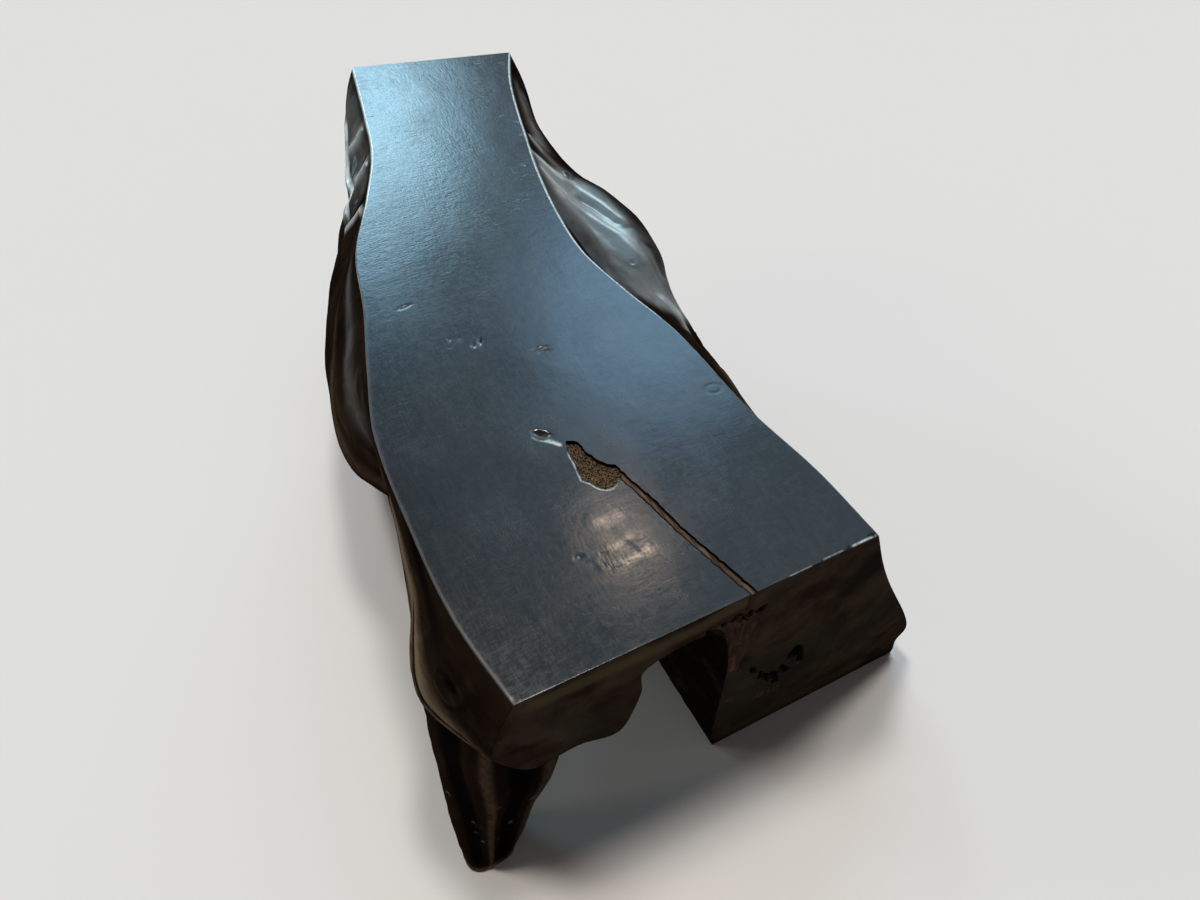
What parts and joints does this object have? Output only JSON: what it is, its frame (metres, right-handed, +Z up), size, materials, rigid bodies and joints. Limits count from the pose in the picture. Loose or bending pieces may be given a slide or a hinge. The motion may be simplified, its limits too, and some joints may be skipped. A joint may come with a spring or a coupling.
{
  "type": "live edge bench",
  "caption": "Low bench made from a bent, hollowed half log with a flat planed seat, live edges and root-shaped legs joined under it.",
  "frame": {"origin": "on the floor, under the middle of the bounding box", "axes": "+Z up, +Y along the bench away from its wide near end, +X to the right as seen from that end"},
  "size_m": [0.7538, 1.3948, 0.43],
  "materials": {
    "seat_wood": "dark stained and waxed to a satin polish",
    "block_wood": "dark stained, saw cut",
    "root_wood": "dark stained and waxed",
    "dowel_wood": "raw",
    "filler": "wood dust set in glue, matt"
  },
  "bodies": {
    "root": {"seat_slab": "seat_wood", "near_right_leg": "block_wood", "near_left_leg": "root_wood", "far_left_leg": "root_wood", "far_right_leg": "root_wood", "near_right_dowels": "dowel_wood", "near_left_dowels": "dowel_wood", "far_left_dowels": "dowel_wood", "far_right_dowels": "dowel_wood", "knot_filling": "filler", "crack_filling": "filler"}
  },
  "joints": []
}
